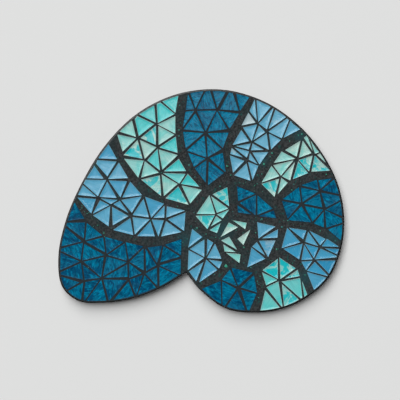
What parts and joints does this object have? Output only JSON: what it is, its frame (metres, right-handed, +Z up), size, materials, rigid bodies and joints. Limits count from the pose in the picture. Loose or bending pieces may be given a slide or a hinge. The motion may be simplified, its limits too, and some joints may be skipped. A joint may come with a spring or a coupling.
{
  "type": "mosaic panel",
  "caption": "Flat nautilus-shaped wall panel of cut glass tiles set in dark grout on a shaped board, with a keyhole slot in its back for a screw.",
  "frame": {"origin": "the middle of the back of the board, in the plane that lies on the wall", "axes": "+Z up the wall, +X to the right as the viewer faces the panel, and +Y into the wall, so the tiles face -Y"},
  "size_m": [0.286, 0.0122, 0.2234],
  "materials": {
    "board": "fibreboard painted black, satin on its edge and matt on its back",
    "grout": "charcoal grout, fine and matt, with a few small green specks of glass",
    "deep_teal_glass": "opaque deep teal glass with brushed streaks, glossy, with ground edges",
    "light_blue_glass": "opaque light blue glass, glossy, with ground edges",
    "mint_glass": "opaque glass from mint to turquoise with soft swirls, glossy, with ground edges"
  },
  "bodies": {
    "root": {"backing_board": "board", "grout": "grout", "chamber_01_deep_teal": "deep_teal_glass", "chamber_02_light_blue": "light_blue_glass", "chamber_03_mint": "mint_glass", "chamber_04_deep_teal": "deep_teal_glass", "chamber_05_light_blue": "light_blue_glass", "chamber_06_mint": "mint_glass", "chamber_07_deep_teal": "deep_teal_glass", "chamber_08_light_blue": "light_blue_glass", "chamber_09_mint": "mint_glass", "chamber_10_deep_teal": "deep_teal_glass", "chamber_11_light_blue": "light_blue_glass", "chamber_12_mint": "mint_glass", "chamber_13_deep_teal": "deep_teal_glass", "chamber_14_light_blue": "light_blue_glass", "chamber_15_mint": "mint_glass"}
  },
  "joints": []
}
